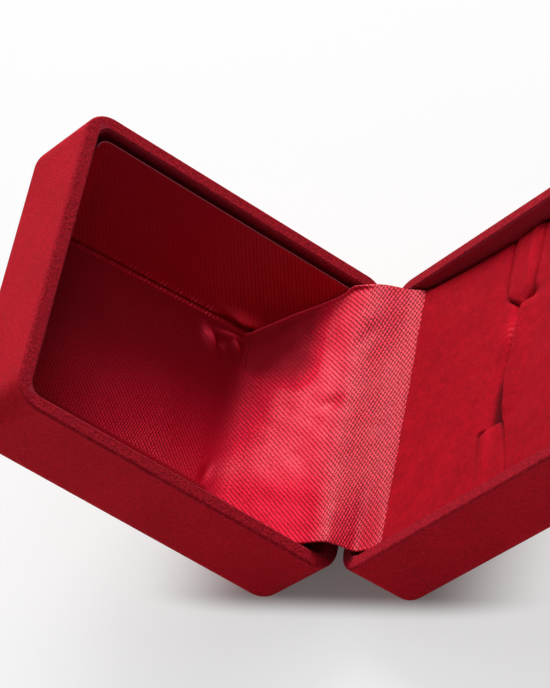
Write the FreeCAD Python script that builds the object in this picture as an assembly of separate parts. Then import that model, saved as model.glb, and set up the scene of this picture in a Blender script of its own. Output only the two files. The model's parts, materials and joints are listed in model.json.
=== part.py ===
"""Flocked clamshell ring box, standing open on its spine.

Both halves are modelled in a tray frame: x runs from the hinge axis to the
front edge, y along the hinge, z up out of the tray, with z = 0 in the plane
of the hinge axis. Each half is then leaned and placed, so that the two
rounded spine edges stand on z = 0. Sizes are in millimetres.
"""
import FreeCAD
import Part
import math
import os

V = FreeCAD.Vector

# ---- the box ----
box_width = 66.0          # along the hinge
box_reach = 71.7          # back wall to front wall, outside
lid_depth = 19.5          # rim to roof, outside
base_depth = 15.7         # rim to floor, outside
wall = 3.0                # side walls, with their flock
floor_thickness = 2.0
roof_thickness = 2.0
plan_radius = 5.5         # upright corners
edge_radius = 3.0         # around the floor and the roof
rim_radius = 0.6          # around the outside of the rim
rim_chamfer = 0.4         # around the inside
open_angle = 88.0         # the lid's travel from shut to open, degrees
rim_gap = 0.3             # between the rims when shut
back_gap = 0.65           # between the back walls at the hinge
overcut = 1.0             # how far a cut or a rib runs past the face it meets

# ---- sprung hinge ----
hinge_span = 40.0
pin_radius = 0.5
pin_clearance = 0.05
leaf_thickness = 0.5
knuckle_gap = 0.3
spring_room = 3.0         # along the pin, between the inner knuckles
notch_clearance = 0.3     # around the barrel, in both back walls
pin_head_radius = 0.9
pin_head_height = 0.4
leg_width = 10.0
leg_spacing = 24.0
leg_depth = 8.0
barb_size = 0.35
barb_pitch = 2.2
rail_thickness = 1.0
rail_overlap = 1.2
rail_clearance = 0.1
rail_top = 3.0            # below the rim
bend_radius = 0.4
spring_thickness = 0.25   # strip bent round the underside of the pin
spring_width = 2.0
spring_clearance = 0.1    # to the pin
spring_leg = 2.4          # axis to the end of a leg
slot_clearance = 0.2      # around a leg, in the leaf

# ---- ring insert in the base ----
insert_start = 9.6        # hinge axis to the insert's back edge
insert_clearance = 0.4    # to the walls
insert_back_drop = 1.8    # pad top below the rim at its outer edges
insert_slot_drop = 3.6    # pad top below the rim at the slot
card_thickness = 1.0
pad_thickness = 1.5
pad_edge_radius = 0.7
slot_position = 39.7      # hinge axis to the slit
slot_length = 28.0
slit_width = 0.8
flap_reach = 5.0          # cross cuts, each side of the slit
flap_sink = 1.2           # front flap bent down at the slit
lip_rise = 0.7            # rear flap stands proud
tab_clearance = 0.3
tab_rise = 0.5
ring_foam_width = 8.0
ring_foam_depth = 6.0
ring_foam_length = 36.0

# ---- lining in the lid ----
ceiling_thickness = 1.5
panel_thickness = 1.15    # measured level, at the cut edge
panel_top_drop = 2.0      # cut edge below the rim
far_inset = 1.4           # wall to the cut edge
far_lean = 39.0           # from upright, degrees
near_inset = 0.3
near_lean = 34.0
front_inset = 0.5
front_lean = 15.0
lining_clearance = 0.25
ramp_foot = 19.6          # hinge axis to where the satin meets the ceiling

# ---- satin over the hinge ----
satin_thickness = 0.4
satin_side_gap = 0.7      # wall to the satin's free edge
satin_clearance = 0.3
satin_tuck = 1.2          # its end, below the insert's back edge
satin_roll = 0.9          # its roll, behind the insert's back edge
satin_roll_radius = 0.9
saddle_reach = 3.9        # lowest point over the base's back wall, from the axis
saddle_height = 3.3
saddle_radius = 1.6
crest_reach = 1.0         # highest point, on the lid's side of the axis
crest_height = 6.4
crest_radius = 2.0
sag_reach = 9.0           # where it starts to fall away into the lid
sag_height = 5.3
sag_radius = 8.0
ramp_radius = 6.0         # where it turns to lie along the ceiling
ceiling_run = 6.0         # ramp's foot to its end

# ---- worked out ----
half_width = box_width / 2
inner_half = half_width - wall
rim_drop = rim_gap / 2
back_face = back_gap / 2
inner_back = back_face + wall
inner_front = back_face + box_reach - wall
barrel_radius = pin_radius + pin_clearance + leaf_thickness
spring_radius = pin_radius + spring_clearance
notch_depth = barrel_radius + notch_clearance
notch_half = hinge_span / 2 + pin_head_height + notch_clearance
knuckle_width = (hinge_span - spring_room) / 4 - knuckle_gap / 2
rail_end = inner_back + leaf_thickness + rail_clearance + rail_thickness
base_floor_z = -(rim_drop + base_depth - floor_thickness)
lid_roof_z = -(rim_drop + lid_depth - roof_thickness)


def lean_angles():
    """Leans of lid and base above level, with both spine edges on the floor."""
    between = math.pi - math.radians(open_angle)
    turn = back_face + edge_radius
    lid_drop = rim_drop + lid_depth - edge_radius
    base_drop = rim_drop + base_depth - edge_radius
    rise = turn * math.sin(between) + lid_drop - base_drop * math.cos(between)
    run = turn * (1 + math.cos(between)) + base_drop * math.sin(between)
    lid_lean = math.atan2(rise, run)
    return lid_lean, between - lid_lean


lid_lean, base_lean = lean_angles()


def along(lean, side, reach, drop):
    """A point in the side view, reach from the axis and drop below its plane."""
    x = side * (reach * math.cos(lean) + drop * math.sin(lean))
    return x, reach * math.sin(lean) - drop * math.cos(lean)


def axis_place():
    """Hinge axis over the middle of the standing box, z = 0 under its spine."""
    turn = back_face + edge_radius
    front = back_face + box_reach - edge_radius
    lid_edge = rim_drop + lid_depth - edge_radius
    base_edge = rim_drop + base_depth - edge_radius
    spine_z = along(lid_lean, -1, turn, lid_edge)[1] - edge_radius
    left = along(lid_lean, -1, front, lid_edge)[0] - edge_radius
    right = along(base_lean, 1, front, base_edge)[0] + edge_radius
    return V(-(left + right) / 2, 0, -spine_z)


axis = axis_place()


def place_base(shape):
    placed = shape.copy()
    placed.rotate(V(0, 0, 0), V(0, 1, 0), -math.degrees(base_lean))
    placed.translate(axis)
    return placed


def place_lid(shape):
    placed = shape.copy()
    placed.rotate(V(0, 0, 0), V(0, 0, 1), 180)
    placed.rotate(V(0, 0, 0), V(0, 1, 0), math.degrees(lid_lean))
    placed.translate(axis)
    return placed


# ---- plain shapes ----
def box(x0, x1, y0, y1, z0, z1):
    return Part.makeBox(x1 - x0, y1 - y0, z1 - z0, V(x0, y0, z0))


def side_prism(points, y0, y1):
    """A closed outline of (x, z) points, extruded along the hinge."""
    ring = [V(x, y0, z) for x, z in points]
    return Part.Face(Part.makePolygon(ring + ring[:1])).extrude(V(0, y1 - y0, 0))


def rounded_block(x0, x1, half, z0, z1, radius):
    """An upright block with rounded plan corners."""
    block = box(x0, x1, -half, half, z0, z1)
    upright = [edge for edge in block.Edges if edge.BoundBox.ZLength > (z1 - z0) / 2]
    return block.makeFillet(radius, upright)


def edges_at(shape, z):
    return [edge for edge in shape.Edges
            if abs(edge.BoundBox.ZMin - z) < 1e-4 and abs(edge.BoundBox.ZMax - z) < 1e-4]


def cylinder_y(radius, y0, y1):
    return Part.makeCylinder(radius, y1 - y0, V(0, y0, 0), V(0, 1, 0))


def round_path(corners, radii):
    """A path in side view through (x, z) corners, each but the ends rounded."""
    points = [V(x, 0, z) for x, z in corners]
    edges = []
    here = points[0]
    for before, corner, after, radius in zip(points, points[1:], points[2:], radii):
        back = (before - corner).normalize()
        ahead = (after - corner).normalize()
        half_angle = back.getAngle(ahead) / 2
        cut = radius / math.tan(half_angle)
        centre = corner + (back + ahead).normalize() * (radius / math.sin(half_angle))
        middle = centre + (corner - centre).normalize() * radius
        first, last = corner + back * cut, corner + ahead * cut
        edges += [Part.LineSegment(here, first).toShape(), Part.Arc(first, middle, last).toShape()]
        here = last
    edges.append(Part.LineSegment(here, points[-1]).toShape())
    return Part.Wire(edges)


# ---- moulded halves ----
def leaf_rails(floor_z):
    """Channels on the back wall that the hinge legs are pressed into."""
    lip_x = rail_end - rail_thickness
    foot_z = floor_z - floor_thickness / 4
    rails = []
    for leg_y in (-leg_spacing / 2, leg_spacing / 2):
        for side in (-1, 1):
            edge_y = leg_y + side * (leg_width / 2 + barb_size)
            web = sorted((edge_y, edge_y + side * rail_thickness))
            lip = sorted((edge_y - side * rail_overlap, edge_y + side * rail_thickness))
            top_z = -(rim_drop + rail_top)
            rails.append(box(inner_back - wall / 2, rail_end, web[0], web[1], foot_z, top_z))
            rails.append(box(lip_x, rail_end, lip[0], lip[1], foot_z, top_z))
    return rails


def inner_rim(shell):
    """The rim's edges around the hollow, without those of its outer round."""
    edges = []
    for edge in edges_at(shell, -rim_drop):
        bounds = edge.BoundBox
        across = max(bounds.YMax, -bounds.YMin) < inner_half + rim_radius
        if across and bounds.XMin > back_face + rim_radius + 1e-3 and bounds.XMax < inner_front + rim_radius:
            edges.append(edge)
    return edges


def tray(depth, thickness):
    """One moulded half: rounded outside, open inside, notched for the barrel."""
    bottom_z = -(rim_drop + depth)
    floor_z = bottom_z + thickness
    shell = rounded_block(back_face, back_face + box_reach, half_width, bottom_z, -rim_drop, plan_radius)
    shell = shell.makeFillet(edge_radius, edges_at(shell, bottom_z))
    shell = shell.makeFillet(rim_radius, edges_at(shell, -rim_drop))
    hollow = rounded_block(inner_back, inner_front, inner_half, floor_z, overcut, plan_radius - wall)
    shell = shell.cut(hollow)
    shell = shell.makeChamfer(rim_chamfer, inner_rim(shell))
    notch = box(-overcut, inner_back + overcut, -notch_half, notch_half, -notch_depth, overcut)
    shell = shell.cut(notch)
    return shell.multiFuse(leaf_rails(floor_z)).removeSplitter()


# ---- hinge ----
def knuckle_bands():
    """Where each leaf's knuckles lie along the pin: outer pair, inner pair."""
    end = hinge_span / 2
    outer = [(-end, -end + knuckle_width), (end - knuckle_width, end)]
    inner_end = end - knuckle_width - knuckle_gap
    inner = [(-inner_end, -inner_end + knuckle_width), (inner_end - knuckle_width, inner_end)]
    return outer, inner


def leg_outline(leg_y):
    """A leg's outline in y and z, with saw-tooth barbs down both edges."""
    top = -barrel_radius
    foot = top - leg_depth
    half = leg_width / 2
    right = [(half, top + leaf_thickness)]
    tooth_z = top - barb_pitch
    while tooth_z - barb_pitch > foot:
        right += [(half, tooth_z), (half + barb_size, tooth_z), (half, tooth_z - barb_pitch * 0.6)]
        tooth_z -= barb_pitch
    right += [(half, foot + half / 5), (half * 0.8, foot)]
    left = [(-y, z) for y, z in reversed(right)]
    return [(leg_y + y, z) for y, z in right + left]


def hinge_leaf(bands):
    """Stamped leaf: knuckles, a flange over the wall and two legs inside it."""
    flange_top = -barrel_radius + leaf_thickness
    leg_x = inner_back + leaf_thickness
    knuckle_free = barrel_radius + notch_clearance
    half = hinge_span / 2
    flange = box(knuckle_free, leg_x, -half, half, -barrel_radius, flange_top)
    parts = []
    for y0, y1 in bands:
        parts.append(cylinder_y(barrel_radius, y0, y1))
        parts.append(box(0, knuckle_free, y0, y1, -barrel_radius, flange_top))
    for leg_y in (-leg_spacing / 2, leg_spacing / 2):
        ring = [V(inner_back, y, z) for y, z in leg_outline(leg_y)]
        leg = Part.Face(Part.makePolygon(ring + ring[:1])).extrude(V(leaf_thickness, 0, 0))
        parts.append(leg)
    leaf = flange.multiFuse(parts).removeSplitter()
    bend = [edge for edge in edges_at(leaf, flange_top) if edge.BoundBox.XMin > leg_x - 1e-3]
    leaf = leaf.makeFillet(bend_radius, bend)
    leaf = leaf.cut(cylinder_y(pin_radius + pin_clearance, -half - overcut, half + overcut))
    slot_half = spring_width / 2 + slot_clearance
    slot_end = spring_leg + slot_clearance
    return leaf.cut(box(0, slot_end, -slot_half, slot_half, -barrel_radius - overcut, 0))


def hinge_pin():
    half = hinge_span / 2
    shank = cylinder_y(pin_radius, -half, half)
    heads = []
    for end, way in ((-half, -1), (half, 1)):
        head = Part.makeCone(pin_head_radius, pin_radius, pin_head_height, V(0, end, 0), V(0, way, 0))
        heads.append(head)
    return shank.multiFuse(heads).removeSplitter()


def bent_strip(path, half, thickness):
    """A strip that follows a side-view path on its inner face."""
    edge = path.copy()
    edge.translate(V(0, -half, 0))
    return edge.extrude(V(0, 2 * half, 0)).makeOffsetShape(thickness, 1e-3, fill=True)


def hinge_spring():
    """Strip spring bent round the pin, with a leg in the slot of each leaf."""
    base_end = along(base_lean, 1, spring_leg, spring_radius)
    lid_end = along(lid_lean, -1, spring_leg, spring_radius)
    spread = (base_lean + lid_lean) / 2
    reach = spring_radius / math.cos(spread)
    corner = along((base_lean - lid_lean) / 2, 1, 0, reach)
    return bent_strip(round_path([lid_end, corner, base_end], [spring_radius]), spring_width / 2, spring_thickness)


# ---- ring insert ----
def pad_top(x):
    """Height of the insert's top, a shallow valley with the slot at its foot."""
    outer = slot_position - insert_start
    if x > slot_position:
        outer = inner_front - insert_clearance - slot_position
    share = min(abs(x - slot_position) / outer, 1.0)
    return -(rim_drop + insert_slot_drop + (insert_back_drop - insert_slot_drop) * share)


def insert_outline(x0, x1, lift):
    """The valley's outline from x0 to x1, lowered by lift, and down to the floor."""
    xs = [x0, slot_position, x1] if x0 < slot_position < x1 else [x0, x1]
    return [(x, pad_top(x) - lift) for x in xs] + [(x1, base_floor_z), (x0, base_floor_z)]


def insert_card():
    """Folded card platform with skirts on all sides and the slot cut through."""
    x0, x1 = insert_start, inner_front - insert_clearance
    half = inner_half - insert_clearance
    outside = side_prism(insert_outline(x0, x1, pad_thickness), -half, half)
    upright = [edge for edge in outside.Edges if abs(edge.tangentAt(edge.FirstParameter).z) > 0.99]
    outside = outside.makeFillet(plan_radius - wall, upright)
    skin = card_thickness
    inside_points = insert_outline(x0 + skin, x1 - skin, pad_thickness + skin)
    inside_points[-2:] = [(x1 - skin, base_floor_z - overcut), (x0 + skin, base_floor_z - overcut)]
    inside = side_prism(inside_points, -half + skin, half - skin)
    slot = box(slot_position - flap_reach, slot_position + flap_reach,
               -slot_length / 2, slot_length / 2, base_floor_z, overcut)
    return outside.cut(inside).cut(slot)


def pad_field(outer_x, bend_x):
    """Velvet field from its outer edge to the slot's cross cuts, edges rounded."""
    half = inner_half - insert_clearance
    top = [(outer_x, pad_top(outer_x)), (bend_x, pad_top(bend_x))]
    under = [(x, z - pad_thickness) for x, z in reversed(top)]
    pad = side_prism(top + under, -half, half)
    corners = [edge for edge in pad.Edges
               if edge.BoundBox.XLength < 1e-6 and edge.BoundBox.YLength < 1e-6
               and abs(edge.BoundBox.XMin - outer_x) < 1e-6]
    pad = pad.makeFillet(plan_radius - wall, corners)
    rim = [edge for edge in pad.Edges if on_pad_rim(edge, bend_x)]
    return pad.makeFillet(pad_edge_radius, rim)


def on_pad_rim(edge, bend_x):
    """True for the upper edges of a field, apart from the one at the slot."""
    middle = edge.valueAt((edge.FirstParameter + edge.LastParameter) / 2)
    on_top = abs(middle.z - pad_top(middle.x)) < pad_thickness / 4
    upright = edge.BoundBox.XLength < 1e-6 and edge.BoundBox.YLength < 1e-6
    return on_top and not upright and abs(middle.x - bend_x) > 1e-3


def pad_flap(bend_x, tip_x, tip_z):
    """Flap between the cross cuts, from its bend to its tip."""
    half = slot_length / 2 - tab_clearance
    bend_z = pad_top(bend_x)
    outline = [(bend_x, bend_z), (tip_x, tip_z), (tip_x, tip_z - pad_thickness), (bend_x, bend_z - pad_thickness)]
    flap = side_prism(outline, -half, half)
    tip = [edge for edge in flap.Edges
           if edge.BoundBox.YLength > half and abs(edge.BoundBox.XMin - tip_x) < 1e-3]
    return flap.makeFillet(pad_edge_radius, tip)


def front_pad():
    """Velvet field behind the slot; its flap bends down into the slot."""
    bend = slot_position - flap_reach
    tip = slot_position - slit_width / 2
    return pad_field(insert_start, bend).fuse(pad_flap(bend, tip, pad_top(tip) - flap_sink)).removeSplitter()


def rear_pad():
    """Velvet field in front of the slot; its lip stands a little proud."""
    bend = slot_position + flap_reach
    tip = slot_position + slit_width / 2
    outer = inner_front - insert_clearance
    return pad_field(outer, bend).fuse(pad_flap(bend, tip, pad_top(tip) + lip_rise)).removeSplitter()


def slot_tab(side):
    """Rolled velvet tab that closes one end of the slot."""
    x0 = slot_position - flap_reach + tab_clearance
    x1 = slot_position + flap_reach - tab_clearance
    near, far = slot_length / 2, inner_half - insert_clearance
    y0, y1 = sorted((side * near, side * far))
    crown = pad_top(slot_position) + tab_rise
    middle = (x0 + x1) / 2
    under = [V(x, y0, pad_top(x) - pad_thickness) for x in (x1, slot_position, x0)]
    shoulder = pad_top(slot_position) - tab_rise
    arc = Part.Arc(V(x0, y0, shoulder), V(middle, y0, crown), V(x1, y0, shoulder)).toShape()
    bottom = Part.makePolygon([V(x1, y0, shoulder)] + under + [V(x0, y0, shoulder)])
    outline = Part.Wire(Part.__sortEdges__([arc] + bottom.Edges))
    return Part.Face(outline).extrude(V(0, y1 - y0, 0))


def ring_foam(side):
    """Foam strip glued under the card, which grips the ring from one side."""
    under_card = pad_thickness + card_thickness
    slit_x = slot_position + side * slit_width / 2
    bend_x = slot_position + side * flap_reach
    outer_x = slot_position + side * (slit_width / 2 + ring_foam_width)
    foot_z = pad_top(slot_position) - under_card - ring_foam_depth
    slit_z = pad_top(slot_position) - pad_thickness - flap_sink - satin_clearance
    outline = [(slit_x, slit_z), (bend_x, pad_top(bend_x) - under_card),
               (outer_x, pad_top(outer_x) - under_card), (outer_x, foot_z), (slit_x, foot_z)]
    return side_prism(outline, -ring_foam_length / 2, ring_foam_length / 2)


# ---- lid lining ----
panels = {"far": (far_inset, far_lean), "near": (near_inset, near_lean), "front": (front_inset, front_lean)}


def panel_inset(which, drop):
    """How far a leaning panel's inner face stands in from its wall."""
    inset, lean = panels[which]
    return inset + panel_thickness + (drop - panel_top_drop) * math.tan(math.radians(lean))


def panel_room(which, drop):
    """Middle of the lid to a side panel's inner face."""
    return inner_half - panel_inset(which, drop)


def ceiling_drop():
    return lid_depth - roof_thickness - ceiling_thickness


def lining_ceiling():
    """Padded satin card against the roof."""
    top_z = lid_roof_z + ceiling_thickness
    x0 = rail_end + lining_clearance
    x1 = inner_front - lining_clearance
    half = inner_half - lining_clearance
    return rounded_block(x0, x1, half, lid_roof_z, top_z, plan_radius - wall)


def panel_section(which):
    """A leaning panel in side view: how far it stands in, and its height."""
    section = []
    for drop, out in ((panel_top_drop, 0), (panel_top_drop, panel_thickness),
                      (ceiling_drop(), panel_thickness), (ceiling_drop(), 0)):
        section.append((panel_inset(which, drop) - out, -(rim_drop + drop)))
    return section


def lining_front():
    """Panel along the lid's front, mitred against the side panels."""
    outline = [(inner_front - inset, z) for inset, z in panel_section("front")]
    panel = side_prism(outline, -half_width, half_width)
    return panel.common(between_sides())


def between_sides():
    """The room between the two side panels, wider towards the rim."""
    top, foot = panel_top_drop - overcut, ceiling_drop() + overcut
    top_z, foot_z = -(rim_drop + top), -(rim_drop + foot)
    ring = [V(0, -panel_room("far", top), top_z), V(0, panel_room("near", top), top_z),
            V(0, panel_room("near", foot), foot_z), V(0, -panel_room("far", foot), foot_z)]
    return Part.Face(Part.makePolygon(ring + ring[:1])).extrude(V(box_reach, 0, 0))


def lining_side(which, side):
    """Satin-covered card leaning in along one side, cut to lap the front panel."""
    x0 = rail_end + lining_clearance
    ring = [V(x0, side * (inner_half - inset), z) for inset, z in panel_section(which)]
    panel = Part.Face(Part.makePolygon(ring + ring[:1])).extrude(V(inner_front - x0, 0, 0))
    return panel.cut(beyond_front())


def beyond_front():
    """Everything in front of the front panel's inner face."""
    outline = []
    for drop in (panel_top_drop - overcut, ceiling_drop() + overcut):
        outline.append((inner_front - panel_inset("front", drop), -(rim_drop + drop)))
    outline += [(box_reach, outline[1][1]), (box_reach, outline[0][1])]
    return side_prism(outline, -half_width, half_width)


# ---- satin over the hinge ----
def satin_path():
    """Underside of the satin, from the insert over the hinge to the ceiling."""
    tuck = along(base_lean, 1, insert_start - satin_clearance - satin_thickness,
                 rim_drop + insert_back_drop + satin_tuck)
    roll = along(base_lean, 1, insert_start - satin_roll, rim_drop)
    foot_drop = rim_drop + ceiling_drop() - satin_clearance - satin_thickness
    foot = along(lid_lean, -1, ramp_foot, foot_drop)
    end = along(lid_lean, -1, ramp_foot + ceiling_run, foot_drop)
    corners = [tuck, roll, (saddle_reach, saddle_height), (-crest_reach, crest_height),
               (-sag_reach, sag_height), foot, end]
    return round_path(corners, (satin_roll_radius, saddle_radius, crest_radius, sag_radius, ramp_radius))


def satin_strip():
    """Satin strip that crosses the hinge, narrowing between the lid's panels."""
    solid = bent_strip(satin_path(), inner_half - satin_side_gap, satin_thickness)
    solid.translate(axis)
    return solid.common(place_lid(satin_taper()))


def satin_taper():
    """Outline, from in front of the lid, that keeps the strip between the panels."""
    ring = []
    for which, side in (("near", 1), ("far", -1)):
        edge = [(side * y, z) for y, z in taper_edge(which)]
        ring += [V(-box_width, y, z) for y, z in edge[::side]]
    return Part.Face(Part.makePolygon(ring + ring[:1])).extrude(V(2 * box_width, 0, 0))


def taper_edge(which):
    """One side of the taper, from over the rim down to the roof."""
    half = inner_half - satin_side_gap
    top_half = panel_room(which, panel_top_drop) - satin_clearance
    foot_half = panel_room(which, ceiling_drop()) - satin_clearance
    top_z, foot_z = -(rim_drop + panel_top_drop), -(rim_drop + ceiling_drop())
    wide_z = top_z + (half - top_half)
    return [(half, box_width), (half, wide_z), (top_half, top_z), (foot_half, foot_z), (foot_half, lid_roof_z)]


def build():
    outer, inner = knuckle_bands()
    nodes = {
        "base_shell": place_base(tray(base_depth, floor_thickness)),
        "base_hinge_leaf": place_base(hinge_leaf(outer)),
        "hinge_pin": place_base(hinge_pin()),
        "insert_card": place_base(insert_card()),
        "insert_front_pad": place_base(front_pad()),
        "insert_rear_pad": place_base(rear_pad()),
        "slot_tab_far": place_base(slot_tab(1)),
        "slot_tab_near": place_base(slot_tab(-1)),
        "ring_foam_front": place_base(ring_foam(-1)),
        "ring_foam_rear": place_base(ring_foam(1)),
        "lid_shell": place_lid(tray(lid_depth, roof_thickness)),
        "lid_hinge_leaf": place_lid(hinge_leaf(inner)),
        "lid_lining_ceiling": place_lid(lining_ceiling()),
        "lid_lining_far": place_lid(lining_side("far", -1)),
        "lid_lining_near": place_lid(lining_side("near", 1)),
        "lid_lining_front": place_lid(lining_front()),
        "hinge_satin": satin_strip(),
    }
    spring = hinge_spring()
    spring.translate(axis)
    nodes["hinge_spring"] = spring
    return nodes


os.makedirs("parts", exist_ok=True)
for name, shape in build().items():
    print(name, shape.ShapeType, len(shape.Solids), shape.isValid(), round(shape.Volume, 2))
    shape.exportStep("parts/" + name + ".step")
print("axis", axis, "lid lean", math.degrees(lid_lean), "base lean", math.degrees(base_lean))
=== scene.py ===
"""Flocked clamshell ring box: satin-lined lid, slotted velvet insert, satin over the hinge.

Every piece is drawn in the tray of the half that carries it: x runs from the
hinge axis to the front edge, y along the hinge and z up out of the tray, in
millimetres. in_base and in_lid carry such points to their places.
"""

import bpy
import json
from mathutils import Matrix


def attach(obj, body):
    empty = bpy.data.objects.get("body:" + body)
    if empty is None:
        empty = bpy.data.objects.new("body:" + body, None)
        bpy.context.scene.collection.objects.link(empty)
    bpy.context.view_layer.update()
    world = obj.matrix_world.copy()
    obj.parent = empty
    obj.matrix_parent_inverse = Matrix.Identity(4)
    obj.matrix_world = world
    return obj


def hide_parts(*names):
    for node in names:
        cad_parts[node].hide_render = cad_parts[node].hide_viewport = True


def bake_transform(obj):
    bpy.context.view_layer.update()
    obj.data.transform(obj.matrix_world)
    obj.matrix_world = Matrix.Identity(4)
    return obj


bl_info = {
    "name": "Flocked ring box",
    "version": (1, 0, 0),
    "blender": (4, 5, 0),
    "location": "3D View > Sidebar > Ring Box",
    "description": "Dresses the ring box's frame in flock, velvet and satin",
    "category": "Object",
}

import json
import math

import bmesh
import bpy
import numpy as np
from mathutils import Matrix, Vector, noise
from mathutils.geometry import delaunay_2d_cdt

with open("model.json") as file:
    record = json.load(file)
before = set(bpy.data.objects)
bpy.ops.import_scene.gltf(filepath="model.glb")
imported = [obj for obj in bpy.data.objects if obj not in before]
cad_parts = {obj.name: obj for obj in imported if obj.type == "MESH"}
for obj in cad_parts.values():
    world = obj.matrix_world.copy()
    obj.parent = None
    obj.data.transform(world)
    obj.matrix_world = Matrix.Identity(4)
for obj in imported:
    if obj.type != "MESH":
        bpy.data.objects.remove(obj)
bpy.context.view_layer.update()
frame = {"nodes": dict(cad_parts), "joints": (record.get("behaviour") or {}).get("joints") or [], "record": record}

MM = 0.001
HINGE = {joint["name"]: joint for joint in frame["joints"]}["lid_hinge"]
AXIS = np.array(HINGE["pos_m"])
MOUNTS = {mount["name"]: mount for mount in frame["record"]["mounts"]}
BASE_LEAN = math.asin(MOUNTS["base_bottom"]["axis"][0])
LID_LEAN = math.asin(-MOUNTS["lid_top"]["axis"][0])


# ---- trays and the world ----
def from_tray(points, lean, side):
    """Points of a tray, in millimetres, to metres in the world; side is 1 for the base and -1 for the lid."""
    x, y, z = np.asarray(points, float).T
    c, s = math.cos(lean), math.sin(lean)
    return AXIS + MM * np.stack([side * (x * c - z * s), y, x * s + z * c], 1)


def in_base(points):
    return from_tray(points, BASE_LEAN, 1)


def in_lid(points):
    return from_tray(points, LID_LEAN, -1)


def at_axis(points):
    """Points about the hinge axis, level, in millimetres, to metres."""
    return AXIS + MM * np.asarray(points, float)


def tray_of(node, lean, side):
    """Lowest and highest corner of a node in its own tray, in millimetres."""
    mesh = frame["nodes"][node].data
    co = np.array([v.co for v in mesh.vertices]) - AXIS
    c, s = math.cos(lean), math.sin(lean)
    x = side * co[:, 0] * c + co[:, 2] * s
    z = -side * co[:, 0] * s + co[:, 2] * c
    tray = np.stack([x, co[:, 1], z], 1) / MM
    return tray.min(0), tray.max(0)


BASE_LOW, BASE_HIGH = tray_of("base_shell", BASE_LEAN, 1)
LID_LOW, LID_HIGH = tray_of("lid_shell", LID_LEAN, -1)
CARD_LOW, CARD_HIGH = tray_of("insert_card", BASE_LEAN, 1)
CEILING_LOW, CEILING_HIGH = tray_of("lid_lining_ceiling", LID_LEAN, -1)
FAR_LOW, FAR_HIGH = tray_of("lid_lining_far", LID_LEAN, -1)
NEAR_LOW, NEAR_HIGH = tray_of("lid_lining_near", LID_LEAN, -1)
FRONT_LOW, FRONT_HIGH = tray_of("lid_lining_front", LID_LEAN, -1)
PANEL_TOP, PANEL_FOOT = FAR_HIGH[2], FAR_LOW[2]


def smooth(x, low, high):
    """0 below low, 1 above high, with a soft step between."""
    t = np.clip((np.asarray(x, float) - low) / (high - low), 0, 1)
    return t * t * (3 - 2 * t)


def bump(x, y, cx, cy, rx, ry, turn=0.0):
    """A soft mound of height 1 about (cx, cy), turned by an angle in degrees."""
    c, s = math.cos(math.radians(turn)), math.sin(math.radians(turn))
    u = (x - cx) * c + (y - cy) * s
    v = -(x - cx) * s + (y - cy) * c
    return np.exp(-(u / rx) ** 2 - (v / ry) ** 2)


def ripple(points, scale, seed):
    """Even, seeded noise at each point, between about -0.5 and 0.5."""
    shift = Vector((seed * 17.3, seed * 5.1, seed * 9.7))
    return np.array([noise.noise(Vector(p) * scale + shift) for p in points]) * 0.5


# ---- meshes ----
def new_piece(name, points, faces, material, body, uv=None):
    """A shaded piece from metre points, riding on a body."""
    mesh = bpy.data.meshes.new(name)
    mesh.from_pydata([tuple(p) for p in points], [], [tuple(f) for f in faces])
    if uv is not None:
        layer = mesh.uv_layers.new(name="cloth")
        loops = np.zeros(len(mesh.loops), np.int32)
        mesh.loops.foreach_get("vertex_index", loops)
        layer.data.foreach_set("uv", np.asarray(uv, float)[loops].ravel())
    made = bmesh.new()
    made.from_mesh(mesh)
    bmesh.ops.recalc_face_normals(made, faces=made.faces)
    made.to_mesh(mesh)
    made.free()
    mesh.shade_smooth()
    piece = bpy.data.objects.new(name, mesh)
    bpy.context.scene.collection.objects.link(piece)
    mesh.materials.append(material)
    if body is not None:
        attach(piece, body)
    return piece


def paint(piece, name, values):
    """A value at each point, which the material reads by name."""
    layer = piece.data.attributes.new(name, "FLOAT", "POINT")
    layer.data.foreach_set("value", np.asarray(values, np.float32))


def resample(corners, spacing):
    """Points along a closed outline, close to evenly spaced."""
    ring = []
    for a, b in zip(corners, corners[1:] + corners[:1]):
        a, b = np.array(a, float), np.array(b, float)
        count = max(1, int(round(np.linalg.norm(b - a) / spacing)))
        ring += [a + (b - a) * k / count for k in range(count)]
    return np.array(ring)


def rounded(corners, radius, steps=4):
    """The outline with each corner rounded by a short curve."""
    ring = []
    for before, corner, after in zip(corners[-1:] + corners[:-1], corners, corners[1:] + corners[:1]):
        p0, p1, p2 = (np.array(p, float) for p in (before, corner, after))
        back, ahead = p0 - p1, p2 - p1
        cut = min(radius, np.linalg.norm(back) / 2, np.linalg.norm(ahead) / 2)
        first = p1 + back / np.linalg.norm(back) * cut
        last = p1 + ahead / np.linalg.norm(ahead) * cut
        for k in range(steps + 1):
            t = k / steps
            ring.append(tuple((1 - t) ** 2 * first + 2 * t * (1 - t) * p1 + t ** 2 * last))
    return ring


def outline_distance(points, ring):
    """Distance of each point to a closed outline."""
    best = np.full(len(points), 1e9)
    for a, b in zip(ring, np.roll(ring, -1, 0)):
        along = b - a
        t = np.clip(((points - a) @ along) / max(along @ along, 1e-12), 0, 1)
        best = np.minimum(best, np.hypot(*(points - a - t[:, None] * along).T))
    return best


def inside_outline(points, ring):
    """True where a point lies inside a closed outline."""
    x, y = points.T
    inside = np.zeros(len(points), bool)
    for (x0, y0), (x1, y1) in zip(ring, np.roll(ring, -1, 0)):
        if y0 == y1:
            continue
        crosses = (y0 > y) != (y1 > y)
        inside ^= crosses & (x < (x1 - x0) * (y - y0) / (y1 - y0) + x0)
    return inside


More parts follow.
